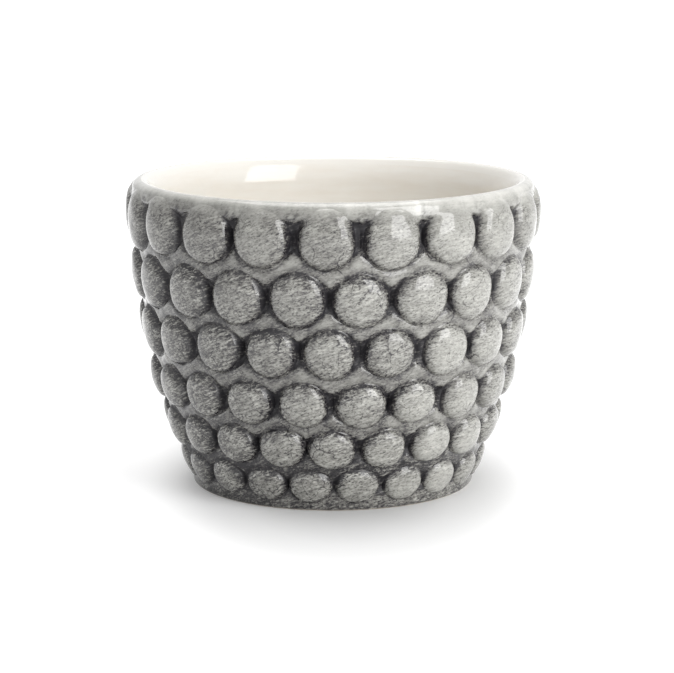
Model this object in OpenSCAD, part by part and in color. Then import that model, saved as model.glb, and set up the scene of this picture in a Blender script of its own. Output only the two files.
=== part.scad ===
// Egg cup with rows of round beads in relief, cast in one piece of earthenware
// and glazed. It stands on its foot ring, mouth up, and nothing on it moves.
// The clay is drawn as the regions it is shaped and glazed in, and they meet
// face to face. The origin is the middle of the foot, on the table.

/* [Cup] */
// Height from the table to the top of the lip
cup_h = 44.2; // [38:0.2:52]
// Diameter of the plain outside just under the lip
mouth_d = 57.4; // [52:0.2:66]
// Diameter of the foot
foot_d = 40.9; // [36:0.1:46]
// Thickness of the rounded top of the lip, glaze included
lip_t = 2.3; // [1.8:0.1:2.8]
// Height of the cream band that the lip forms above the beads
lip_h = 2.4; // [1.8:0.1:3.4]
// Thickness of the wall below the flare of the lip, glaze included
top_wall_t = 3.2; // [2.9:0.1:3.8]
// Thickness of the wall just above the foot, glaze included
low_wall_t = 3.4; // [2.6:0.1:4.4]

/* [Foot and floor] */
// Height of the plain band of the foot
foot_h = 2; // [1.8:0.1:3]
// Width of the foot ring
ring_w = 3.1; // [2.4:0.1:4.5]
// Radius of the rounded edges of the foot ring
ring_edge_r = 0.5; // [0.2:0.05:0.8]
// Depth of the hollow under the floor
hollow_h = 1.3; // [0.6:0.1:1.6]
// Thickness of the floor, without its glaze
floor_t = 3.2; // [2.4:0.1:5]

/* [Bowl] */
// Radius of the round corner between the wall and the floor, inside
corner_r = 9; // [5:0.5:12]
// Radius of the soft flare that opens the bowl inside the lip
flare_r = 6.5; // [5:0.5:8]
// Thickness of the cream glaze inside
glaze_t = 0.3; // [0.2:0.05:0.6]

/* [Beads] */
// Number of beads in each row
bead_count = 20; // [14:1:26]
// Height of a full bead above the smooth web between the rows
bead_rise = 1.4; // [0.8:0.05:2]
// Depth of the trough that each row of beads sits in
trough_d = 0.4; // [0.2:0.05:0.7]
// Depth of the widest part of a bead below the floor of its trough
bead_sink = 0.3; // [0.1:0.05:0.6]
// Width of the smooth web left between two rows
web_w = 1.3; // [0.8:0.1:2.4]
// Angle that the first bead of the top row is turned from the front
first_turn = -1.7; // [-8:0.1:8]
// Angle that each row is turned on from the row above, past half a step
row_lean = 0.45; // [-1:0.05:1]

/* [Hidden] */

// Heights of the webs that part the bead rows, from the top one down
web_z_shares = [0.973, 0.791, 0.613, 0.443, 0.285, 0.145, 0.023];
// Rise of the beads of each row, from the top row down
row_rise_shares = [1, 0.79, 0.86, 0.93, 0.86, 0.61];
// Width of the beads of each row, of the room that a bead has there
row_width_shares = [0.85, 0.82, 0.81, 0.83, 0.87, 0.86];
// Height of a bead, of the height of its row
bead_height_share = 0.97;

cream = [0.93, 0.91, 0.88];
bead_grey = [0.62, 0.62, 0.60];
stain_grey = [0.42, 0.41, 0.39];
bare_clay = [0.80, 0.76, 0.70];

// Facets of the preview: round the cup, along its long arcs and on small rounds
turn_steps = 144;
arc_steps = 400;
round_steps = 48;

mouth_r = mouth_d / 2;
foot_r = foot_d / 2;
ring_in_r = foot_r - ring_w;
lip_r = lip_t / 2;
lip_z = cup_h - lip_r;
lip_low_z = cup_h - lip_h;
floor_z = hollow_h + floor_t;

// Each face of the wall is one arc of a circle, upright at the lip and drawn in
// to the foot: [radius of the arc, distance of its centre from the cup's axis].
function wall_arc(top_r, low_r) =
    let (drop = lip_z - foot_h, in = top_r - low_r, r = (drop * drop + in * in) / (2 * in))
    [r, top_r - r];
outer_arc = wall_arc(mouth_r, foot_r);
inner_arc = wall_arc(mouth_r - top_wall_t + glaze_t, foot_r - low_wall_t + glaze_t);

// Centre of the round corner inside, tangent to the inner arc and to the floor
corner_z = floor_z + corner_r;
corner_x = inner_arc[1] + sqrt(pow(inner_arc[0] - corner_r, 2) - pow(lip_z - corner_z, 2));
corner_fall_share = (lip_z - corner_z) / (inner_arc[0] - corner_r);

// Centre of the flare inside the lip. Its circle touches the inner arc and runs
// round the circle of the lip, and both of these have their centre at lip_z.
lip_x = mouth_r - lip_r;
flare_reach = inner_arc[0] - glaze_t + flare_r;
flare_room = flare_r - lip_r;
flare_x = (pow(flare_reach, 2) - pow(flare_room, 2) - pow(inner_arc[1], 2) + pow(lip_x, 2))
    / (2 * (lip_x - inner_arc[1]));
flare_z = lip_z - sqrt(pow(flare_room, 2) - pow(flare_x - lip_x, 2));
flare_low_z = lip_z - (lip_z - flare_z) * (inner_arc[0] - glaze_t) / flare_reach;

// Height, slope, half height and room of row n, counted from 0 at the top
function row_z(n) = cup_h * (web_z_shares[n] + web_z_shares[n + 1]) / 2;
function row_half_h(n) = cup_h * (web_z_shares[n] - web_z_shares[n + 1]) / 2;
function row_slope(n) = asin((lip_z - row_z(n)) / outer_arc[0]);
function row_r(n) = outer_arc[1] + outer_arc[0] * cos(row_slope(n));
function row_turn(n) = first_turn + n * row_lean + (n % 2) * 180 / bead_count;

// All that lies further from the axis than start, between two heights
module band(low, high, start = 0) {
    translate([start, low])
        square([mouth_d, high - low]);
}

// The outside of the cup, cut off flat at the lip's centre
module outer_region() {
    intersection() {
        translate([outer_arc[1], lip_z])
            circle(r = outer_arc[0], $fn = arc_steps);
        band(foot_h, lip_z);
    }
}

// The flare inside the lip, drawn back by the thickness of what it is coated with
module flare_circle(coat) {
    translate([flare_x, flare_z])
        circle(r = flare_r - coat, $fn = turn_steps);
}

// The room inside, drawn in by the thickness of what lines it
module bowl_region(lining) {
    intersection() {
        translate([inner_arc[1], lip_z])
            circle(r = inner_arc[0] - lining, $fn = arc_steps);
        band(lip_z - (inner_arc[0] - lining) * corner_fall_share, flare_low_z);
    }
    difference() {
        translate([0, flare_low_z])
            square([flare_x, lip_z - flare_low_z]);
        flare_circle(glaze_t - lining);
    }
    intersection() {
        translate([corner_x, corner_z])
            circle(r = corner_r - lining, $fn = turn_steps);
        band(0, cup_h);
    }
    translate([0, floor_z + lining])
        square([corner_x, corner_r - lining]);
}

// The shallow troughs that the bead rows sit in, one for each row
module troughs() {
    for (n = [0 : len(row_rise_shares) - 1]) {
        half_w = row_half_h(n) / cos(row_slope(n)) - web_w / 2;
        trough_r = (half_w * half_w + trough_d * trough_d) / (2 * trough_d);
        reach = outer_arc[0] - trough_d + trough_r;
        translate([outer_arc[1] + reach * cos(row_slope(n)), lip_z - reach * sin(row_slope(n))])
            circle(r = trough_r, $fn = turn_steps);
    }
}

// The plain band of the foot, rounded where it meets the table
module foot_region() {
    difference() {
        square([foot_r, foot_h]);
        square([ring_in_r, hollow_h]);
        translate([ring_in_r, 0])
            square(ring_edge_r);
        translate([foot_r - ring_edge_r, 0])
            square(ring_edge_r);
    }
    for (edge_x = [ring_in_r + ring_edge_r, foot_r - ring_edge_r])
        translate([edge_x, ring_edge_r])
            circle(r = ring_edge_r, $fn = round_steps);
}

// The round top of the lip, and the end of the flare that runs into it
module lip_region() {
    flare_rise = lip_z - flare_z;
    flare_back = flare_x - lip_x;
    translate([lip_x, lip_z])
        circle(r = lip_r, $fn = round_steps);
    intersection() {
        flare_circle(0);
        translate([lip_x, lip_z])
            polygon([[0, 0], [-flare_back, flare_rise], [-flare_back, 0]]);
    }
}

// Half section of all the clay, from the foot to the lip
module clay_region() {
    difference() {
        union() {
            outer_region();
            foot_region();
        }
        bowl_region(0);
        troughs();
    }
    intersection() {
        lip_region();
        band(lip_z, cup_h);
    }
}

// Turns the part of the clay that lies in a region of the half section
module turned() {
    rotate_extrude($fn = turn_steps)
        intersection() {
            clay_region();
            children();
        }
}

module foot_ring() {
    color(bare_clay)
        turned()
            band(0, foot_h, ring_in_r);
}

module floor() {
    color(bare_clay)
        turned()
            square([ring_in_r, lip_z]);
}

module wall() {
    color(stain_grey)
        turned()
            band(foot_h, lip_low_z, ring_in_r);
}

module lip() {
    color(cream)
        turned()
            band(lip_low_z, cup_h, ring_in_r);
}

// The cream glaze inside, one even coat from the floor to the lip
module bowl_glaze() {
    color(cream)
        rotate_extrude($fn = turn_steps)
            difference() {
                bowl_region(0);
                bowl_region(glaze_t);
            }
}

// One row of beads. Each is a flattened ball sunk in its trough, and only what
// stands out of the clay is kept.
module bead_row(n) {
    rise = bead_rise * row_rise_shares[n];
    half_w = row_width_shares[n] * row_r(n) * sin(180 / bead_count);
    half_h = bead_height_share * row_half_h(n) / cos(row_slope(n));
    depth = rise + trough_d + bead_sink;
    reach = outer_arc[0] - trough_d - bead_sink;
    place_r = outer_arc[1] + reach * cos(row_slope(n));
    place_z = lip_z - reach * sin(row_slope(n));
    color(bead_grey)
        difference() {
            for (k = [0 : bead_count - 1])
                rotate([0, 0, row_turn(n) + k * 360 / bead_count])
                    translate([0, -place_r, place_z])
                        rotate([row_slope(n), 0, 0])
                            scale([half_w, depth, half_h])
                                sphere(r = 1, $fn = round_steps);
            rotate_extrude($fn = turn_steps) {
                clay_region();
                bowl_region(0);
            }
        }
}

module bead_row_1() { bead_row(0); }
module bead_row_2() { bead_row(1); }
module bead_row_3() { bead_row(2); }
module bead_row_4() { bead_row(3); }
module bead_row_5() { bead_row(4); }
module bead_row_6() { bead_row(5); }

foot_ring();
floor();
wall();
lip();
bowl_glaze();
bead_row_1();
bead_row_2();
bead_row_3();
bead_row_4();
bead_row_5();
bead_row_6();
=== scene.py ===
import math

import bpy
import numpy as np
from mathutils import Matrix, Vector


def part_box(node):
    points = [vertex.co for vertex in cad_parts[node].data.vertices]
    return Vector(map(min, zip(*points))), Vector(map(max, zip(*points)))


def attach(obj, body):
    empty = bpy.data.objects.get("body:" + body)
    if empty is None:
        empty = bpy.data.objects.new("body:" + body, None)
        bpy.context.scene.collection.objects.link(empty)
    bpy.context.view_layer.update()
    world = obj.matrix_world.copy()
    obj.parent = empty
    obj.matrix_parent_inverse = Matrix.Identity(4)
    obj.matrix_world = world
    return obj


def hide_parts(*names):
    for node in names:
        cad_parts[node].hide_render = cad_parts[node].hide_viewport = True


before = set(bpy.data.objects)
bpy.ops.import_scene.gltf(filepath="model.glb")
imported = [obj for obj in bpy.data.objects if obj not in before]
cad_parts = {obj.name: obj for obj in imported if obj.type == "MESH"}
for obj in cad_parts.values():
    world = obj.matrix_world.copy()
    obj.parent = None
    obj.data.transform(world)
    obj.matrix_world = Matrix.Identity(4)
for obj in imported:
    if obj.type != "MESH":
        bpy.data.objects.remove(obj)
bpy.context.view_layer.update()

# Foot ring. The ring that the cup stands on is pale earthenware, cast in one
# with the wall. Outside it is stained and glazed like the wall, and the face
# that meets the table is wiped down to the bare fired clay.
MM = 0.001
CUP_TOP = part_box("lip")[1].z / MM
FOOT_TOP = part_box("foot_ring")[1].z / MM
TURNED_COLUMNS = 180
RING_EDGE_R = 0.5
EDGE_STEPS = 7
RING_SIDE_STEPS = 6
WIPED_UP_TO = 0.22
OUT_OF_ROUND = 0.04
LIP_DIP = 0.12
FOOT_STAIN = 0.66
FOOT_TOP_THINNER = 0.08
FOOT_LEFT_SHADE = 0.12
FOOT_BROKEN = 0.9
CREAM = (0.885, 0.862, 0.812, 1)
STAIN_STEPS = (
    (0.00, CREAM),
    (0.12, (0.66, 0.65, 0.61, 1)),
    (0.35, (0.40, 0.396, 0.366, 1)),
    (0.60, (0.175, 0.170, 0.157, 1)),
    (0.80, (0.052, 0.048, 0.051, 1)),
    (1.00, (0.010, 0.009, 0.012, 1)),
)
FINE_SPECKS = 0.30
STROKES = 0.27
DARK_DOTS = 0.6
BLOTCHES = 0.13
HAIR_DARK = 0.9
HAIR_W = 0.022
HAIR_CELLS = 260
HAIR_WANDER = 0.0016
CLAY = (0.66, 0.60, 0.52, 1)
RUBBED_CLAY = (0.30, 0.28, 0.26, 1)


def reach(node):
    """How far a piece of the frame stands out from the cup's axis, in millimetres."""
    return max(math.hypot(v.co.x, v.co.y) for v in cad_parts[node].data.vertices) / MM


def around(columns):
    """The turns of evenly spaced columns of points round the cup, from its front."""
    return (np.arange(columns) * 2 * math.pi / columns)[None, :]


def hand_made(turn, r, z):
    """Points in metres, from turns, distances from the axis and heights, a little out of round."""
    high = z / CUP_TOP
    lean = np.sin(2 * turn + 0.6) + 0.5 * np.sin(3 * turn + 2.1) - 1.5
    r = r + OUT_OF_ROUND * high * lean
    z = z - LIP_DIP * high**3 * (0.5 + 0.5 * np.sin(2 * turn + 1.9))
    return np.stack((r * np.sin(turn), -r * np.cos(turn), z), axis=-1) * MM


def turned(section, turn):
    """Points of a half section, given as distances and heights, turned round the axis."""
    r = np.array([p[0] for p in section])[:, None]
    z = np.array([p[1] for p in section])[:, None]
    return hand_made(turn, r + 0 * turn, z + 0 * turn)


def loop_faces(rows, columns):
    """Faces between rows of points that close round the cup, and from the last row to the first."""
    faces = []
    for row in range(rows):
        here = row * columns
        above = (row + 1) % rows * columns
        for k in range(columns):
            after = (k + 1) % columns
            faces.append((here + k, here + after, above + after, above + k))
    return faces


def round_edge(centre_r, centre_z, radius, start, end, steps):
    """Points round an arc of a half section, between two angles in degrees."""
    return [
        (centre_r + radius * math.cos(math.radians(a)), centre_z + radius * math.sin(math.radians(a)))
        for a in np.linspace(start, end, steps)
    ]


def new_piece(name, points, faces, finishes, finish_of_face=None, sharp_over=35):
    mesh = bpy.data.meshes.new(name)
    mesh.from_pydata(points.reshape(-1, 3).tolist(), [], faces)
    mesh.validate()
    for finish in finishes:
        mesh.materials.append(finish)
    if finish_of_face is not None:
        mesh.polygons.foreach_set("material_index", finish_of_face)
    mesh.polygons.foreach_set("use_smooth", [True] * len(mesh.polygons))
    mesh.set_sharp_from_angle(angle=math.radians(sharp_over))
    mesh.update()
    piece = bpy.data.objects.new(name, mesh)
    bpy.context.scene.collection.objects.link(piece)
    return piece


def paint(piece, name, values):
    """Keeps one number for each point of a piece, for its finish to read."""
    layer = piece.data.attributes.new(name, "FLOAT", "POINT")
    layer.data.foreach_set("value", np.asarray(values, np.float32).ravel())


def node_maker(finish):
    nodes, links = finish.node_tree.nodes, finish.node_tree.links

    def add(kind, inputs=None, **settings):
        node = nodes.new(kind)
        for key, value in settings.items():
            setattr(node, key, value)
        for key, value in (inputs or {}).items():
            if isinstance(value, bpy.types.NodeSocket):
                links.new(value, node.inputs[key])
            else:
                node.inputs[key].default_value = value
        return node

    return add


def new_finish(name):
    finish = bpy.data.materials.new(name)
    finish.use_nodes = True
    finish.node_tree.nodes.clear()
    return finish


def speckle(add, scale, squash=1.0, detail=2, seed=0.0, tilt=0.0):
    """Fine mottling in the cup's own space. A squash over 1 draws it out into strokes, which lie
    level or tilted."""
    place = add("ShaderNodeTexCoord").outputs["Object"]
    tilted = add(
        "ShaderNodeMapping",
        {"Vector": place, "Rotation": (tilt, tilt, 0), "Location": (seed, 0, 0)},
    )
    stretch = add("ShaderNodeMapping", {"Vector": tilted.outputs["Vector"], "Scale": (1, 1, squash)})
    return add(
        "ShaderNodeTexNoise",
        {"Vector": stretch.outputs["Vector"], "Scale": scale, "Detail": detail, "Roughness": 0.6},
    ).outputs["Fac"]


def spread(add, value, low, high, to_low, to_high, bend="LINEAR"):
    return add(
        "ShaderNodeMapRange",
        {"Value": value, "From Min": low, "From Max": high, "To Min": to_low, "To Max": to_high},
        interpolation_type=bend,
    ).outputs["Result"]


def combine(add, how, first, second):
    return add("ShaderNodeMath", {0: first, 1: second}, operation=how).outputs[0]


def hair_lines(add):
    """A few thin, wandering dark lines, where the glaze has crazed and taken the stain."""
    place = add("ShaderNodeTexCoord").outputs["Object"]
    bend = add("ShaderNodeTexNoise", {"Vector": place, "Scale": 700, "Detail": 2}).outputs["Color"]
    bend = add("ShaderNodeVectorMath", {0: bend, "Scale": HAIR_WANDER}, operation="SCALE").outputs[0]
    bent = add("ShaderNodeVectorMath", {0: place, 1: bend}, operation="ADD").outputs[0]
    cells = add(
        "ShaderNodeTexVoronoi",
        {"Vector": bent, "Scale": HAIR_CELLS},
        feature="DISTANCE_TO_EDGE",
    )
    line = spread(add, cells.outputs["Distance"], 0.0, HAIR_W, HAIR_DARK, 0)
    there = spread(add, speckle(add, 190, detail=1, seed=12), 0.52, 0.60, 0, 1)
    return combine(add, "MULTIPLY", line, there)


def skin(add, colour, rough, grain, strength, depth, ior=1.5):
    """Ends a finish with its colour, its roughness and the fine relief of its grain."""
    bump = add("ShaderNodeBump", {"Height": grain, "Strength": strength, "Distance": depth})
    shader = add(
        "ShaderNodeBsdfPrincipled",
        {"Base Color": colour, "Roughness": rough, "Normal": bump.outputs["Normal"], "IOR": ior},
    )
    add("ShaderNodeOutputMaterial", {"Surface": shader.outputs["BSDF"]})


def two_tones(add, share, first, second):
    mix = add("ShaderNodeMix", {"Factor": share, "A": first, "B": second}, data_type="RGBA")
    return mix.outputs["Result"]


def stained_glaze():
    """Grey stain brushed over cream clay under a clear gloss glaze. The numbers painted on a
    piece say how thick the stain lies, with painted shade and painted light added into it, and
    how far the brush has broken it up into specks."""
    finish = new_finish("stained_glaze")
    add = node_maker(finish)
    stain = add("ShaderNodeAttribute", attribute_name="stain").outputs["Fac"]
    broken = add("ShaderNodeAttribute", attribute_name="broken").outputs["Fac"]
    fine = spread(add, speckle(add, 2300, squash=2.1, detail=3, tilt=0.15), 0.34, 0.66, -1, 1)
    strokes = spread(add, speckle(add, 720, squash=4.4, seed=4, tilt=0.30), 0.35, 0.65, -1, 1)
    blotches = spread(add, speckle(add, 420, seed=9), 0.3, 0.7, -1, 1)
    dots = spread(add, speckle(add, 2500, squash=2.2, detail=1, seed=2, tilt=0.35), 0.57, 0.67, 0, 1)
    specks = combine(add, "MULTIPLY", fine, FINE_SPECKS)
    specks = combine(add, "ADD", specks, combine(add, "MULTIPLY", strokes, STROKES))
    specks = combine(add, "ADD", specks, combine(add, "MULTIPLY", dots, DARK_DOTS))
    loose = combine(add, "MULTIPLY", specks, broken)
    loose = combine(add, "ADD", loose, combine(add, "MULTIPLY", blotches, BLOTCHES))
    loose = combine(add, "ADD", loose, combine(add, "MULTIPLY", hair_lines(add), broken))
    thickness = combine(add, "MULTIPLY", stain, combine(add, "ADD", loose, 1.0))
    colours = add("ShaderNodeValToRGB", {"Fac": thickness})
    ramp = colours.color_ramp
    for place, colour in STAIN_STEPS[1:-1]:
        ramp.elements.new(place)
    for element, (place, colour) in zip(ramp.elements, STAIN_STEPS):
        element.position = place
        element.color = colour
    gloss = spread(add, speckle(add, 1400, seed=6), 0.3, 0.7, 0.01, 0.03)
    dry_in_pits = spread(add, stain, 0.72, 0.92, 0, 0.6)
    rough = combine(add, "MAXIMUM", gloss, dry_in_pits)
    waves = speckle(add, 420, detail=1, seed=7)
    grain = combine(add, "ADD", waves, combine(add, "MULTIPLY", fine, 0.03))
    skin(add, colours.outputs["Color"], rough, grain, strength=0.22, depth=0.00005, ior=1.6)
    return finish


def bare_clay():
    """Fired clay, dry and a little warm, with fine grit and grey rubbed into it."""
    finish = new_finish("bare_clay")
    add = node_maker(finish)
    grit = speckle(add, 3000, detail=3, seed=1)
    rubbed = spread(add, speckle(add, 420, detail=3, seed=5), 0.45, 0.75, 0, 0.5)
    rough = spread(add, grit, 0.3, 0.7, 0.72, 0.92)
    skin(add, two_tones(add, rubbed, CLAY, RUBBED_CLAY), rough, grit, strength=0.4, depth=0.00006)
    return finish


STAINED = stained_glaze()
BARE = bare_clay()

foot_r = reach("foot_ring")
ring_in_r = reach("floor")
ring_section = (
    [(ring_in_r, FOOT_TOP)]
    + round_edge(ring_in_r + RING_EDGE_R, RING_EDGE_R, RING_EDGE_R, 180, 270, EDGE_STEPS)
    + round_edge(foot_r - RING_EDGE_R, RING_EDGE_R, RING_EDGE_R, -90, 0, EDGE_STEPS)
    + [(foot_r, z) for z in np.linspace(RING_EDGE_R, FOOT_TOP, RING_SIDE_STEPS)[1:]]
)


def is_wiped(start, end):
    """Whether a side of the ring's half section is bare: the face it stands on, and its inside."""
    return max(start[1], end[1]) <= WIPED_UP_TO or min(start[0], end[0]) < ring_in_r + RING_EDGE_R


ring_turn = around(TURNED_COLUMNS)
ring_sides = zip(ring_section, ring_section[1:] + ring_section[:1])
foot_ring = new_piece(
    "foot_ring_clay",
    turned(ring_section, ring_turn),
    loop_faces(len(ring_section), TURNED_COLUMNS),
    [STAINED, BARE],
    np.repeat([int(is_wiped(start, end)) for start, end in ring_sides], TURNED_COLUMNS),
)
ring_z = np.array([z for r, z in ring_section])[:, None] + 0 * ring_turn
# The ring is painted darker on the left of the cup and lighter on the right, as painted shade and
# painted light on top of its stain.
ring_stain_and_shade = FOOT_STAIN - FOOT_TOP_THINNER * ring_z / FOOT_TOP + FOOT_LEFT_SHADE * -np.sin(ring_turn)
paint(foot_ring, "stain", ring_stain_and_shade)
paint(foot_ring, "broken", 0 * ring_z + FOOT_BROKEN)
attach(foot_ring, "root")
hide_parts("foot_ring")

# Floor. The floor of the bowl is a disc of the same clay over a shallow hollow,
# which keeps it off the table. It is cast with the ring, and the hollow is
# dipped in cream glaze with the inside of the bowl.
FLOOR_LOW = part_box("floor")[0].z / MM
FLOOR_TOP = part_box("bowl_glaze")[0].z / MM
LIP_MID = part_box("bowl_glaze")[1].z / MM
COAT = 0.3
CORNER_R = 9.0
FLARE_R = 6.5
TOP_WALL = 3.2
LOW_WALL = 3.4
FLOOR_STEPS = 9
HOLLOW_STEPS = 7
CORNER_STEPS = 16
SIDE_STEPS = 22
FLARE_STEPS = 9
DEEPER_CREAM = (0.855, 0.818, 0.756, 1)
mouth_r = reach("lip")
lip_r = CUP_TOP - LIP_MID
lip_x = mouth_r - lip_r


def upright_arc(top_r, low_r):
    """The arc of a wall, upright at the lip: its radius and how far its centre is from the axis."""
    drop = LIP_MID - FOOT_TOP
    draw_in = top_r - low_r
    radius = (drop**2 + draw_in**2) / (2 * draw_in)
    return radius, top_r - radius


inner_r, inner_x = upright_arc(mouth_r - TOP_WALL + COAT, foot_r - LOW_WALL + COAT)
corner_z = FLOOR_TOP + CORNER_R
corner_x = inner_x + math.sqrt((inner_r - CORNER_R) ** 2 - (LIP_MID - corner_z) ** 2)
corner_fall = math.degrees(math.asin((LIP_MID - corner_z) / (inner_r - CORNER_R)))
flare_reach = inner_r - COAT + FLARE_R
flare_x = (flare_reach**2 - (FLARE_R - lip_r) ** 2 - inner_x**2 + lip_x**2) / (2 * (lip_x - inner_x))
flare_z = LIP_MID - math.sqrt((FLARE_R - lip_r) ** 2 - (flare_x - lip_x) ** 2)
flare_start = math.degrees(math.asin((LIP_MID - flare_z) / flare_reach))


def flare_end(flare_r):
    """The angle at which a flare of that radius comes up to the height of the lip's middle."""
    return 180 - math.degrees(math.asin((LIP_MID - flare_z) / flare_r))


def bowl_side(coat):
    """Half section of the bowl from the axis to the lip, with that much glaze on the clay."""
    flare_r = FLARE_R - COAT + coat
    bottom = [(corner_x * share, FLOOR_TOP + coat) for share in np.linspace(0, 1, FLOOR_STEPS)[:-1]]
    corner = round_edge(corner_x, corner_z, CORNER_R - coat, -90, -corner_fall, CORNER_STEPS)
    side = round_edge(inner_x, LIP_MID, inner_r - coat, -corner_fall, -flare_start, SIDE_STEPS)
    flare = round_edge(flare_x, flare_z, flare_r, 180 - flare_start, flare_end(flare_r), FLARE_STEPS)
    return bottom + corner + side[1:] + flare[1:]


def disc_piece(name, section, finishes):
    """A half section that starts and ends on the axis, turned into one closed solid."""
    ring = section[1:-1]
    points = turned(ring, around(TURNED_COLUMNS)).reshape(-1, 3)
    poles = np.array([(0, 0, section[0][1] * MM), (0, 0, section[-1][1] * MM)])
    points = np.concatenate((points, poles))
    top = (len(ring) - 1) * TURNED_COLUMNS
    first = top + TURNED_COLUMNS
    faces = loop_faces(len(ring), TURNED_COLUMNS)[:top]
    for k in range(TURNED_COLUMNS):
        after = (k + 1) % TURNED_COLUMNS
        faces.append((first, after, k))
        faces.append((first + 1, top + k, top + after))
    return new_piece(name, points, faces, finishes)


def cream_glaze():
    """Cream gloss glaze, smooth as glass but for a faint unevenness in its colour and thickness."""
    finish = new_finish("cream_glaze")
    add = node_maker(finish)
    cloud = spread(add, speckle(add, 120, squash=5.0, detail=3, seed=3), 0.35, 0.65, 0, 1)
    rough = spread(add, speckle(add, 500, seed=8), 0.3, 0.7, 0.07, 0.13)
    waves = speckle(add, 260, squash=1.2, seed=2)
    tone = two_tones(add, cloud, CREAM, DEEPER_CREAM)
    skin(add, tone, rough, waves, strength=0.25, depth=0.00012, ior=1.52)
    return finish


CREAM_GLAZE = cream_glaze()

clay_side = [p for p in bowl_side(0) if p[0] < ring_in_r]
floor_section = (
    [(0, FLOOR_LOW)]
    + [(ring_in_r * share, FLOOR_LOW) for share in np.linspace(0, 1, HOLLOW_STEPS)[1:]]
    + [(ring_in_r, clay_side[-1][1])]
    + clay_side[:0:-1]
    + [(0, FLOOR_TOP)]
)
floor = disc_piece("floor_clay", floor_section, [CREAM_GLAZE])
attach(floor, "root")
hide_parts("floor")

# Wall. The wall is cast clay about 3 mm thick. Its outside is a smooth web that
# winds between the rows of beads, and it sinks into a pit between each bead and
# the next one of its row. Stain is brushed over it and pools in the pits. Shade is
# painted on it near the beads, round the pits and on the left of the cup, and it is
# darker towards the bottom.
WALL_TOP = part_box("wall")[1].z / MM
WALL_COLUMNS = 620
WALL_ROWS = 148
BEADS = 20
PITCH = 2 * math.pi / BEADS
ROWS = 6
FIRST_TURN = -1.7
ROW_LEAN = 0.45
ROW_DROP = 0.15
WIDTH_SHARES = (0.85, 0.83, 0.82, 0.83, 0.86, 0.86)
HEIGHT_SHARES = (1.03, 1.05, 1.02, 0.99, 1.01, 1.02)
TALLER_TOP = 1.13
SQUARE_TOP = 2.25
ROUND = 2.1
PIT_SHARES = (1.0, 1.0, 1.0, 0.95, 0.8, 0.5)
PIT_DEPTH = 1.25
PIT_BY_BEAD = 0.35
PIT_FALL = 0.8
PIT_FLARE = 0.30
TOP_PIT_UP = 0.84
TOP_PIT_DOWN = 1.25
FAR_OFF = 9.0
TINY = 1e-3
MOAT_DEPTH = 0.14
MOAT_W = 0.6
SHADE_W = 1.3
LEDGE = 0.38
LIP_SWELL = 0.15
WEB_WAVES = 0.05
FOOT_JOIN = 0.9
DRIP_TURN = math.radians(23.4)
DRIP_W = 0.42
DRIP_LOW = 40.0
MEAN_R = 28
LIP_RUN = 0.98
# Where a pit and its halo fade out, up and down from its middle, in half heights of a bead
PIT_EDGE = (0.20, 0.66)
HALO_EDGE = (0.25, 1.05)
# Heights above the table between which each thing fades in or out
BEADS_END = (41.2, 42.4)
PITS_END = (40.9, 42.6)
LEDGE_STARTS = (41.2, 42.3)
LEDGE_ENDS = (42.2, LIP_MID)
UNDER_LIP_SHADE_STARTS = (40.6, 42.0)
SMEAR_STARTS = (40.8, 41.5)
SMEAR_ENDS = (42.3, 43.3)
LOW_DARK_ENDS = (3, 15)
THIN_BAND_ENDS = (38, 40.5)
STAIN_THINS = (42.0, 43.0)
STAIN_ENDS = (42.8, 43.6)
# How thick the stain lies on the web, and what each thing adds to that or takes from it,
# some of them painted shade and light
WEB_STAIN = 0.37
LEFT_UNDER_LIP_SHADE = 0.13
LOW_DARKER = 0.23
LOW_LEFT_SHADE = 0.09
THIN_BAND = 0.035
NEAR_BEAD_SHADE = 0.26
SMEAR_STAIN = 0.30
FAR_LEFT_SHADE = 0.13
PIT_HALO_SHADE = 0.13
PIT_STAIN = 0.58
UNDER_DRIP = 0.14
outer_r, outer_x = upright_arc(mouth_r, foot_r)
dice = np.random.default_rng(20)


def smooth_step(low, high, value):
    share = np.clip((value - low) / (high - low), 0, 1)
    return share * share * (3 - 2 * share)


def on_right(turn):
    """1 on the right of the cup, as seen from in front, going over to 0 near its middle."""
    return smooth_step(0.2, 0.9, np.sin(turn))


def below_mid(z):
    return LIP_MID - np.clip(z, FOOT_TOP, LIP_MID)


def above_mid(z):
    return np.clip(z - LIP_MID, 0, lip_r * LIP_RUN)


def side_r(z):
    """How far the smooth web is from the axis, from the foot to the round of the lip."""
    arc = outer_x + np.sqrt(outer_r**2 - below_mid(z) ** 2)
    return arc - lip_r + np.sqrt(lip_r**2 - above_mid(z) ** 2)


def side_fall(z):
    """The sine of the angle that the web leans out over the foot, less than 0 on the lip."""
    return np.where(z > LIP_MID, -above_mid(z) / lip_r, below_mid(z) / outer_r)


def raised(turn, z, height):
    """Points that stand that far out of the web, square to it."""
    fall = side_fall(z)
    return hand_made(turn, side_r(z) + height * np.sqrt(1 - fall**2), z - height * fall)


def turn_between(turn, other):
    """How far one turn is past another, the short way round."""
    return (turn - other + math.pi) % (2 * math.pi) - math.pi


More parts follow.
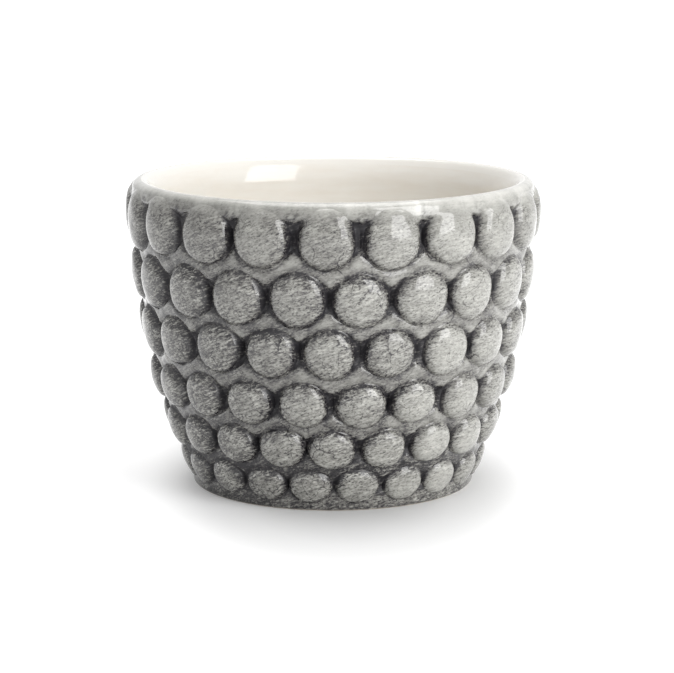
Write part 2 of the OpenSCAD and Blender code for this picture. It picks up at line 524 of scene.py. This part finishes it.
def bead_layout(row):
    """Middle, half width, half height and outline of each bead of a row, as a hand sets them."""
    low, high = (corner.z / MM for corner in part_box(f"bead_row_{row + 1}"))
    middle = (low + high) / 2
    upright = 1 / math.sqrt(1 - float(side_fall(middle)) ** 2)
    half_h = HEIGHT_SHARES[row] * (high - low) / 2 * upright * dice.uniform(0.97, 1.03, BEADS)
    first_turn = math.radians(FIRST_TURN + row * ROW_LEAN) + (row % 2) * PITCH / 2
    turn = first_turn + np.arange(BEADS) * PITCH + np.radians(dice.uniform(-0.5, 0.5, BEADS))
    z = middle - ROW_DROP + dice.uniform(-0.15, 0.15, BEADS)
    room = side_r(middle) * math.sin(PITCH / 2)
    return {
        "turn": turn,
        "z": z,
        "half_w": WIDTH_SHARES[row] * room * dice.uniform(0.97, 1.04, BEADS),
        "half_h": half_h,
        "half_up": half_h * (TALLER_TOP if row == 0 else 1),
        "upright": upright,
        "square_top": SQUARE_TOP if row == 0 else ROUND,
    }


layout = [bead_layout(row) for row in range(ROWS)]


def from_outline(row, k, turn, z):
    """Distance of points from the outline of bead k of a row, and their height in half heights."""
    bead = layout[row]
    across = np.abs(turn_between(turn, bead["turn"][k])) * side_r(z)
    up = (z - bead["z"][k]) * bead["upright"]
    power = np.where(up > 0, bead["square_top"], ROUND)
    share_up = up / np.where(up > 0, bead["half_up"][k], bead["half_h"][k])
    out = ((across / bead["half_w"][k]) ** power + np.abs(share_up) ** power) ** (1 / power)
    out = np.maximum(out, TINY)
    return np.hypot(across, up) * (1 - 1 / out), share_up


def between_beads(turn, z):
    """How far the nearest bead is, how dark, deep and wide the pits are between the beads of a
    row, and how near a point is to the middle between two beads of the top row."""
    right = on_right(turn)
    nearest = np.full(np.shape(z), FAR_OFF)
    dark, deep, halo = (np.zeros(np.shape(z)) for each in range(3))
    for row in range(ROWS):
        step = (turn - layout[row]["turn"][0]) / PITCH
        k = np.round(step).astype(int)
        side = np.where(step > k, 1, -1)
        near, up = from_outline(row, k % BEADS, turn, z)
        other = from_outline(row, (k + side) % BEADS, turn, z)[0]
        nearest = np.minimum(nearest, near)
        middle_share = np.clip(2 * near / np.maximum(near + other, TINY), 0, 1)
        reach_up = np.abs(up) - PIT_FLARE * (1 - middle_share) ** 2
        if row == 0:
            top_middle = middle_share
            reach_up = reach_up * np.where(up > 0, TOP_PIT_UP, TOP_PIT_DOWN)
        here = PIT_SHARES[row] * (1 - smooth_step(*PIT_EDGE, reach_up))
        by_bead = 1 - smooth_step(0, 0.5, middle_share)
        # Next to the beads the pits are lighter, and on the right of the cup more so, as painted light.
        dark = np.maximum(dark, here * (1 - (0.2 + 0.4 * right) * by_bead))
        deep = np.maximum(deep, here * (PIT_BY_BEAD + PIT_FALL * smooth_step(0, 1.4, middle_share)))
        halo = np.maximum(halo, PIT_SHARES[row] * (1 - smooth_step(*HALO_EDGE, reach_up)))
    return nearest, dark, deep, halo, top_middle


def ripple(turn, z, longest):
    """Slow, uneven waves over the cup, between about -1 and 1."""
    total = 0
    for wave in range(5):
        length = longest * 0.78**wave
        way = 2.4 * wave + 0.5
        waves_round = round(MEAN_R * 2 * math.pi / length * math.cos(way))
        waves_up = 2 * math.pi / length * math.sin(way)
        total = total + np.sin(waves_round * turn + waves_up * z + 1.7 * wave + longest)
    return total / 3


def ragged(turn):
    """How far the border of the stain under the lip wanders up and down, in millimetres."""
    return 0.35 * ripple(turn, 0, 2.4) + 0.20 * ripple(turn, 0, 1.1)


def drip_over(turn, z):
    """How far the drip of cream glaze covers the one pit that it has run into."""
    drip_w = DRIP_W * (0.75 + 0.5 * smooth_step(DRIP_LOW + 1.4, DRIP_LOW + 2.8, z))
    across = turn_between(turn, DRIP_TURN) * side_r(z)
    return np.exp(-((across / drip_w) ** 4)) * smooth_step(DRIP_LOW, DRIP_LOW + 0.4, z)


def under_lip(turn, z):
    """How thick the stain lies just under the lip, with a band of painted shade on the left of the cup.
    """
    left = 1 - smooth_step(-0.3, 0.7, np.sin(turn))
    return WEB_STAIN + LEFT_UNDER_LIP_SHADE * smooth_step(*UNDER_LIP_SHADE_STARTS, z) * left * (1 + 0.5 * ragged(turn))


def web(turn, z):
    """Height of the web, how thick the stain lies on it with painted shade and light added, and how far
    the nearest bead is.
    """
    nearest, dark, deep, halo, top_middle = between_beads(turn, z)
    below_lip = 1 - smooth_step(*BEADS_END, z)
    line = np.exp(-((np.maximum(nearest, 0) / MOAT_W) ** 2)) * below_lip
    shade = np.exp(-((np.maximum(nearest, 0) / SHADE_W) ** 2)) * below_lip
    fringe = 1 - smooth_step(*PITS_END, z + ragged(turn))
    drip = drip_over(turn, z)

    height = -PIT_DEPTH * deep * fringe * (1 - drip) - MOAT_DEPTH * line + WEB_WAVES * ripple(turn, z, 5)
    height = height * smooth_step(FOOT_TOP, FOOT_TOP + FOOT_JOIN, z)
    ledge = LEDGE * smooth_step(*LEDGE_STARTS, z) - (LEDGE - LIP_SWELL) * smooth_step(*LEDGE_ENDS, z)

    right = on_right(turn)
    left = 1 - smooth_step(-0.9, 0.1, np.sin(turn))
    far_left = smooth_step(0.1, 0.95, -np.sin(turn))
    # The web is darker towards the bottom, and more so on the left of the cup, where it is painted
    # shade.
    low_down = (LOW_DARKER + LOW_LEFT_SHADE * left) * (1 - smooth_step(*LOW_DARK_ENDS, z))
    low_down = low_down - THIN_BAND * (1 - smooth_step(*THIN_BAND_ENDS, z))
    uneven = 0.07 * ripple(turn, z, 9) + 0.04 * ripple(turn, z, 3.7)
    smear = smooth_step(0.25, 0.8, top_middle) * smooth_step(*SMEAR_STARTS, z)
    smear = smear * (1 - smooth_step(*SMEAR_ENDS, z + ragged(turn)))
    smear = smear * smooth_step(-0.5, 0.5, ripple(turn, z, 1.5)) * (1 - 0.6 * right)
    pooled = smooth_step(0.05, 0.75, dark * fringe * (1 - drip))
    # Near the beads, round the pits and on the far left of the cup the web is painted darker, as painted
    # shade. On the right of the cup that shade, the smear and the pits are painted lighter, as painted
    # light.
    stain = under_lip(turn, z) + low_down + uneven + NEAR_BEAD_SHADE * shade * (1 - 0.3 * right)
    stain = stain + SMEAR_STAIN * smear + FAR_LEFT_SHADE * far_left * below_lip
    stain = stain + PIT_HALO_SHADE * halo * fringe + (PIT_STAIN - 0.16 * right) * pooled
    return height + ledge, np.minimum(stain - UNDER_DRIP * drip, 1.0), nearest


def lip_fade(turn, z):
    """How much of the stain is left where it thins out towards the cream lip."""
    # The stain reaches higher on the left of the cup than on the right, as painted shade.
    brushed = 0.16 * ripple(turn, 0 * z, 9) + 0.12 * ripple(turn, 0 * z, 2.1) + 0.12 * np.sin(turn)
    thinned = 0.15 * smooth_step(*STAIN_THINS, z + brushed)
    return 1 - thinned - 0.40 * smooth_step(*STAIN_ENDS, z + brushed)


def relief_ring(outer_z, hidden):
    """Points, faces and stain of a closed ring whose outside is the web, with the pits in it, and
    whose inside is a half section."""
    turn = around(WALL_COLUMNS)
    z = np.asarray(outer_z, float)[:, None] + 0 * turn
    turns = turn + 0 * z
    height, stain, nearest = web(turns, z)
    under_beads = 0.3 * smooth_step(0.12, 0.5, -nearest)
    points = np.concatenate((raised(turns, z, height - under_beads), turned(hidden, turn)))
    left_over = stain * lip_fade(turns, z)
    hidden_r, hidden_z = (np.array([p[side] for p in hidden])[:, None] for side in (0, 1))
    over_top = 1 - 0.45 * smooth_step(0.1, 0.9, (hidden_z - outer_z[-1]) / lip_r)
    over_top = over_top * (hidden_r > lip_x)
    stain = np.concatenate((left_over, left_over[-1:] * over_top))
    return points, loop_faces(len(points), WALL_COLUMNS), stain


wall_back = [p for p in bowl_side(0) if ring_in_r < p[0] and p[1] < WALL_TOP][::-2]
wall_top_inside = (flare_x - math.sqrt((FLARE_R - COAT) ** 2 - (WALL_TOP - flare_z) ** 2), WALL_TOP)
wall_points, wall_faces, wall_stain_and_shade = relief_ring(
    np.linspace(FOOT_TOP, WALL_TOP, WALL_ROWS),
    [wall_top_inside] + wall_back + [(ring_in_r, wall_back[-1][1]), (ring_in_r, FOOT_TOP)],
)
wall = new_piece("wall_clay", wall_points, wall_faces, [STAINED])
paint(wall, "stain", wall_stain_and_shade)
paint(wall, "broken", 0.4 + 0.5 * smooth_step(0.5, 0.7, wall_stain_and_shade))
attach(wall, "root")
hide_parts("wall")

# Bead rows. Each of the six rows is a ring of twenty round beads of clay, cast
# with the wall. A brush of stain leaves their crowns light and speckled, and it
# gathers in a dark line where a bead rises out of the web. Each bead is painted
# darker towards its edge, as painted shade of its rounded dome.
BEAD_SEGMENTS = 60
BEAD_RINGS = (
    0.12, 0.24, 0.36, 0.47, 0.57, 0.66, 0.73, 0.79, 0.84, 0.88, 0.915, 0.94, 0.96, 0.98,
    1.0, 1.02, 1.04, 1.06, 1.085, 1.12,
)
RISES = (1.38, 1.09, 1.18, 1.27, 1.17, 0.82)
CROWN_SHARE = 0.48
LOBES = 0.014
WORN = 0.022
GLAZE_OVER = 0.015
SKIRT_DIP = 0.12
FILLET = 0.35
LIP_FILLET = 0.9
ROOT_DIP = 0.35
BEAD_STAIN = 0.385
LEFT_BEAD_SHADE = 0.13
LIT_BEAD_LIGHTER = 0.09
HIGHER_ROWS = (10, 20)
HIGHER_STAIN = 0.04
UPPER_STAIN = 0.08
UPPER_EDGE_STAIN = 0.17
DOME_SHADE = 0.07
NEAR_EDGE_STAIN = 0.05
ROOT_LINE_STAIN = 0.17
ROOT_STAIN = 0.5
VEIL_STARTS = (40.9, 42.3)
bead_turn = around(BEAD_SEGMENTS)
out = np.array((0.0,) + BEAD_RINGS)[:, None]


def bead_dome(row, k):
    """Turns and heights on the wall of the points of one bead, and how far its dome stands out."""
    own = layout[row]
    power = np.where(np.sin(bead_turn) > 0, own["square_top"], ROUND)
    edge = (np.abs(np.cos(bead_turn)) ** power + np.abs(np.sin(bead_turn)) ** power) ** (-1 / power)
    lobes = dice.uniform(0, 2 * math.pi, 3)
    two_lobes = LOBES * np.sin(2 * bead_turn + lobes[0])
    edge = edge * (1 + two_lobes + LOBES * np.sin(3 * bead_turn + lobes[1]))
    half_up = np.where(np.sin(bead_turn) > 0, own["half_up"][k], own["half_h"][k])
    across = out * edge * own["half_w"][k] * np.cos(bead_turn)
    up = out * edge * half_up * np.sin(bead_turn)
    z = own["z"][k] + up / own["upright"]
    turn = own["turn"][k] + across / side_r(z)
    crown = CROWN_SHARE + dice.uniform(-0.07, 0.07)
    rise = RISES[row] * dice.uniform(0.95, 1.0)
    dome = rise * (1 - crown * out**2 - (1 - crown) * out**8) + 0 * bead_turn
    worn = WORN * np.sin(across * 1.9 + lobes[2]) * np.sin(up * 1.6 + lobes[0])
    return turn, z, dome + worn * (1 - out**2)


def bead_stain(row, k, turn, z, joined, web_stain_and_shade):
    """How thick the stain lies on one bead, and how broken it is. It lies thickest on the bead's
    upper edge and round its root. It is also painted darker towards the bead's edge, as painted
    shade of its dome, and darker on the left of the cup and lighter on the right, as painted
    shade and painted light."""
    middle_turn = layout[row]["turn"][k]
    to_right = math.sin(middle_turn - 0.1)
    lit_side = smooth_step(0.1, 0.45, to_right) * (1 - smooth_step(0.7, 0.95, to_right))
    # Each bead's tone differs at random. Beads on the left of the cup are painted darker and those on
    # the lit right side lighter, as painted shade and painted light.
    tone = dice.uniform(-0.03, 0.03) - LEFT_BEAD_SHADE * min(to_right, 0) - LIT_BEAD_LIGHTER * lit_side
    # The upper edge is stained more on some beads than on others, and it is painted stronger on the left
    # of the cup, as painted shade.
    dark_side = dice.uniform(0.3, 1.1) * (1 - 0.45 * math.sin(middle_turn))
    upper = np.clip(np.sin(bead_turn + dice.uniform(-0.8, 0.2)), 0, 1) * dark_side
    # Edge and root lines are painted lighter on the right of the cup, as painted light.
    edge_dark = (1 - joined) * (1 - 0.45 * smooth_step(0.1, 0.8, to_right))
    veiled = smooth_step(*VEIL_STARTS, z + 0.3 * ripple(turn, z, 3))

    stain = BEAD_STAIN + tone + HIGHER_STAIN * smooth_step(*HIGHER_ROWS, z)
    stain = stain + UPPER_STAIN * upper * smooth_step(0.30, 0.95, out)
    # Each bead is painted darker towards its edge, as painted shade of its rounded dome, and stain
    # gathers close to its outline.
    edges = DOME_SHADE * smooth_step(0.45, 1.0, out) + NEAR_EDGE_STAIN * smooth_step(0.8, 1.0, out)
    stain = stain + edges * edge_dark
    stain = stain + UPPER_EDGE_STAIN * smooth_step(0.80, 1.0, out) * upper * edge_dark
    stain = stain + ROOT_LINE_STAIN * np.exp(-(((out - 1.03) / 0.11) ** 2)) * edge_dark
    stain = stain + (under_lip(turn, z) - stain) * veiled
    stain = stain + (web_stain_and_shade - stain) * smooth_step(0.97, 1.10, out)
    stain = stain * lip_fade(turn, z)

    # Beads on the left of the cup are broken into more dark specks and those on the right into fewer, as
    # painted shade and painted light.
    kept_side = 1 - 0.20 * smooth_step(0.1, 0.8, to_right) + 0.35 * smooth_step(0.4, 0.9, -to_right)
    broken = 1.0 - 0.5 * smooth_step(0.96, 1.08, out) + 0.45 * upper * smooth_step(0.3, 0.9, out)
    broken = broken * kept_side
    broken = broken * (0.8 if row == 0 else 1) * (1 - 0.6 * veiled)
    return stain, broken


def bead(row, k):
    """Points of one bead from its crown, ring by ring, to its root in the web, with the stain on
    each and how broken it is there."""
    turn, z, dome = bead_dome(row, k)
    joined = smooth_step(0.2, 0.8, np.sin(bead_turn)) if row == 0 else 0 * bead_turn
    base, web_stain_and_shade, nearest = web(turn, z)
    fillet = FILLET + (LIP_FILLET - FILLET) * joined
    apart = np.clip(1 - np.abs(dome - base) / fillet, 0, 1)
    height = np.maximum(dome, base) + apart**2 * fillet / 4
    height = height + GLAZE_OVER - SKIRT_DIP * smooth_step(1.03, 1.12, out)
    layers = bead_stain(row, k, turn, z, joined, web_stain_and_shade)
    points = np.concatenate((
        raised(turn[0, :1], z[0, :1], height[0, :1]),
        raised(turn, z, height)[1:].reshape(-1, 3),
        raised(turn[0, :1], z[0, :1], base.min() - ROOT_DIP + 0 * z[0, :1]),
    ))
    stain, broken = (
        np.concatenate((layer[0, :1], layer[1:].ravel(), [ROOT_STAIN])) for layer in layers
    )
    return points, stain, broken


def bead_faces(start):
    """Faces of one bead: a fan over its crown, bands between its rings, and a fan to its root."""
    crown = start
    first_ring = crown + 1
    last_ring = first_ring + (len(BEAD_RINGS) - 1) * BEAD_SEGMENTS
    root = last_ring + BEAD_SEGMENTS
    faces = []
    for s in range(BEAD_SEGMENTS):
        after = (s + 1) % BEAD_SEGMENTS
        faces.append((crown, first_ring + s, first_ring + after))
        for ring in range(first_ring, last_ring, BEAD_SEGMENTS):
            lower = ring + BEAD_SEGMENTS
            faces.append((ring + s, lower + s, lower + after, ring + after))
        faces.append((last_ring + s, root, last_ring + after))
    return faces


for row in range(ROWS):
    row_points, row_stain_and_shade, row_broken = zip(*(bead(row, k) for k in range(BEADS)))
    row_faces = []
    for k in range(BEADS):
        row_faces += bead_faces(k * len(row_points[k]))
    beads = new_piece(
        f"beads_{row + 1}", np.concatenate(row_points), row_faces, [STAINED], sharp_over=80
    )
    paint(beads, "stain", np.concatenate(row_stain_and_shade))
    paint(beads, "broken", np.concatenate(row_broken))
    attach(beads, "root")
    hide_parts(f"bead_row_{row + 1}")

# Lip. The rim is the rounded top of the wall, flared softly on the inside. It is
# dipped in cream glaze, and the stain from below is brushed out thin against it.
LIP_TURN_STEPS = 20
FLARE_TOP_STEPS = 4
LIP_ROWS = 6
LIP_BROKEN = 0.35
lip_lean = math.degrees(math.atan2(LIP_MID - flare_z, flare_x - lip_x))
# The outer half of the rim is swollen by as much as the web is below it
rim = [
    (lip_x + (r - lip_x) * (1 + LIP_SWELL / lip_r * (r > lip_x)), z)
    for r, z in round_edge(lip_x, LIP_MID, lip_r, 0, 180 - lip_lean, LIP_TURN_STEPS)[1:]
]
flare_top = round_edge(flare_x, flare_z, FLARE_R, 180 - lip_lean, flare_end(FLARE_R), FLARE_TOP_STEPS)
clay_flare = [p for p in bowl_side(0) if p[1] > WALL_TOP][::-1]
lip_points, lip_faces, lip_stain_and_shade = relief_ring(
    np.linspace(WALL_TOP, LIP_MID, LIP_ROWS),
    rim + flare_top[1:] + clay_flare + [wall_top_inside],
)
lip = new_piece("lip_clay", lip_points, lip_faces, [STAINED], sharp_over=50)
paint(lip, "stain", lip_stain_and_shade)
paint(lip, "broken", 0 * lip_stain_and_shade + LIP_BROKEN)
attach(lip, "root")
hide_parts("lip")

# Bowl glaze. The inside of the bowl carries one even coat of cream glaze, poured
# in and swilled round, from the middle of the floor up to the flare of the lip.
bowl_glaze = disc_piece("bowl_coat", bowl_side(COAT) + bowl_side(0)[::-1], [CREAM_GLAZE])
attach(bowl_glaze, "root")
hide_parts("bowl_glaze")

# Table. A wide, plain white table top that runs on past the edge of the picture.
# Close to the cup it keeps the shadow, and further off it goes over into white.
TABLE_R = 4.0
TABLE_COLUMNS = 96
TABLE_PAINT = (0.86, 0.86, 0.86, 1)
WHITE = (1, 1, 1, 1)
# The glow is painted light. It is stretched across the picture more than along it, so it lightens the
# shadow beside the cup sooner than the shadow in front of it.
SHADE_MIDDLE = (0.002, 0.004, 0)
SHADE_SHAPE = (2.3, 0.97, 1)
# Where each fade to white starts and ends, from the middle of the shadow, and its strength
SHADE_FADES = ((0.023, 0.046, 0.16), (0.044, 0.070, 0.30), (0.082, 0.202, 0.40))


def seen_directly(add):
    """1 for what the camera sees, straight or in gloss and glass, and 0 for the light on things."""
    path = add("ShaderNodeLightPath").outputs
    seen = combine(add, "MAXIMUM", path["Is Camera Ray"], path["Is Glossy Ray"])
    return combine(add, "MAXIMUM", seen, path["Is Transmission Ray"])


def table_white():
    """Matt white paint, with a glow that grows away from the cup until the table is pure white."""
    finish = new_finish("table_white")
    add = node_maker(finish)
    place = add("ShaderNodeTexCoord").outputs["Object"]
    from_shade = add("ShaderNodeVectorMath", {0: place, 1: SHADE_MIDDLE}, operation="SUBTRACT")
    wide = add("ShaderNodeVectorMath", {0: from_shade.outputs[0], 1: SHADE_SHAPE}, operation="MULTIPLY")
    away = add("ShaderNodeVectorMath", {0: wide.outputs[0]}, operation="LENGTH").outputs["Value"]
    glow = 0.0
    for start, end, strength in SHADE_FADES:
        glow = combine(add, "ADD", glow, spread(add, away, start, end, 0, strength, "SMOOTHSTEP"))
    seen_glow = combine(add, "MULTIPLY", glow, seen_directly(add))
    light = add("ShaderNodeEmission", {"Color": WHITE, "Strength": seen_glow})
    matt = add("ShaderNodeBsdfDiffuse", {"Color": TABLE_PAINT})
    both = add("ShaderNodeAddShader", {0: light.outputs[0], 1: matt.outputs[0]})
    add("ShaderNodeOutputMaterial", {"Surface": both.outputs[0]})
    return finish


table_turn = around(TABLE_COLUMNS)
table_points = np.stack(
    (TABLE_R * np.cos(table_turn), TABLE_R * np.sin(table_turn), 0 * table_turn), axis=-1
)
table = new_piece("table_top", table_points, [tuple(range(TABLE_COLUMNS))], [table_white()])

# Light. A tall soft box stands in front, to the right of the camera, and its
# square shape shows on the shoulders of the beads. A wide one hangs above and
# behind, and the white room gives soft light from above, behind and the left.
ROOM_WALLS = (("X", -1, 0.22), ("Y", 1, 0.4), ("Z", 1, 0.44))


def soft_box(name, side, away, up, width, height, lean, watts):
    """A soft box turned to the cup's axis. Its side and lean are in degrees, from the front and
    from upright, and its lengths in metres."""
    light = bpy.data.lights.new(name, "AREA")
    light.shape = "RECTANGLE"
    light.size = width
    light.size_y = height
    light.energy = watts
    box = bpy.data.objects.new(name, light)
    turn = math.radians(side)
    box.location = (away * math.sin(turn), -away * math.cos(turn), up)
    box.rotation_euler = (math.radians(90 - lean), 0, turn)
    bpy.context.scene.collection.objects.link(box)


def room_strength(add):
    """Each wall of the room lights the cup by its own share, and looks plain white itself."""
    way = add("ShaderNodeSeparateXYZ", {0: add("ShaderNodeTexCoord").outputs["Generated"]}).outputs
    fill = 0.0
    for axis, side, light in ROOM_WALLS:
        facing = combine(add, "MAXIMUM", combine(add, "MULTIPLY", way[axis], side), 0.0)
        fill = combine(add, "ADD", fill, combine(add, "MULTIPLY", facing, light))
    up_to_white = combine(add, "SUBTRACT", 1.0, fill)
    return combine(add, "ADD", fill, combine(add, "MULTIPLY", up_to_white, seen_directly(add)))


soft_box("key_box", side=44, away=0.40, up=0.235, width=0.27, height=0.46, lean=0, watts=1.74)
soft_box("top_box", side=180, away=0.10, up=0.60, width=0.50, height=0.50, lean=80, watts=1.9)

room = bpy.data.worlds.new("room")
room.use_nodes = True
room.node_tree.nodes.clear()
add = node_maker(room)
walls = add("ShaderNodeBackground", {"Color": WHITE, "Strength": room_strength(add)})
add("ShaderNodeOutputWorld", {"Surface": walls.outputs[0]})
bpy.context.scene.world = room
bpy.context.scene.view_settings.view_transform = "Standard"

# Camera. It looks slightly down on the cup from in front, through a long lens,
# with the cup a little to the left of the middle of the picture.
CAMERA_AWAY = 0.358
CAMERA_UP = 0.0881
LOOK_DOWN = math.radians(10.64)
PICTURE_W = 674
LENS_PIXELS = 2509
CUP_LEFT_PIXELS = 4.1
camera_data = bpy.data.cameras.new("camera")
camera_data.sensor_width = 36
camera_data.lens = LENS_PIXELS / PICTURE_W * camera_data.sensor_width
camera_data.shift_x = CUP_LEFT_PIXELS / PICTURE_W
camera_data.clip_start = 0.01
camera_data.clip_end = 20
camera = bpy.data.objects.new("camera", camera_data)
camera.location = (0, -CAMERA_AWAY, CAMERA_UP)
camera.rotation_euler = (math.radians(90) - LOOK_DOWN, 0, 0)
bpy.context.scene.collection.objects.link(camera)
bpy.context.scene.camera = camera
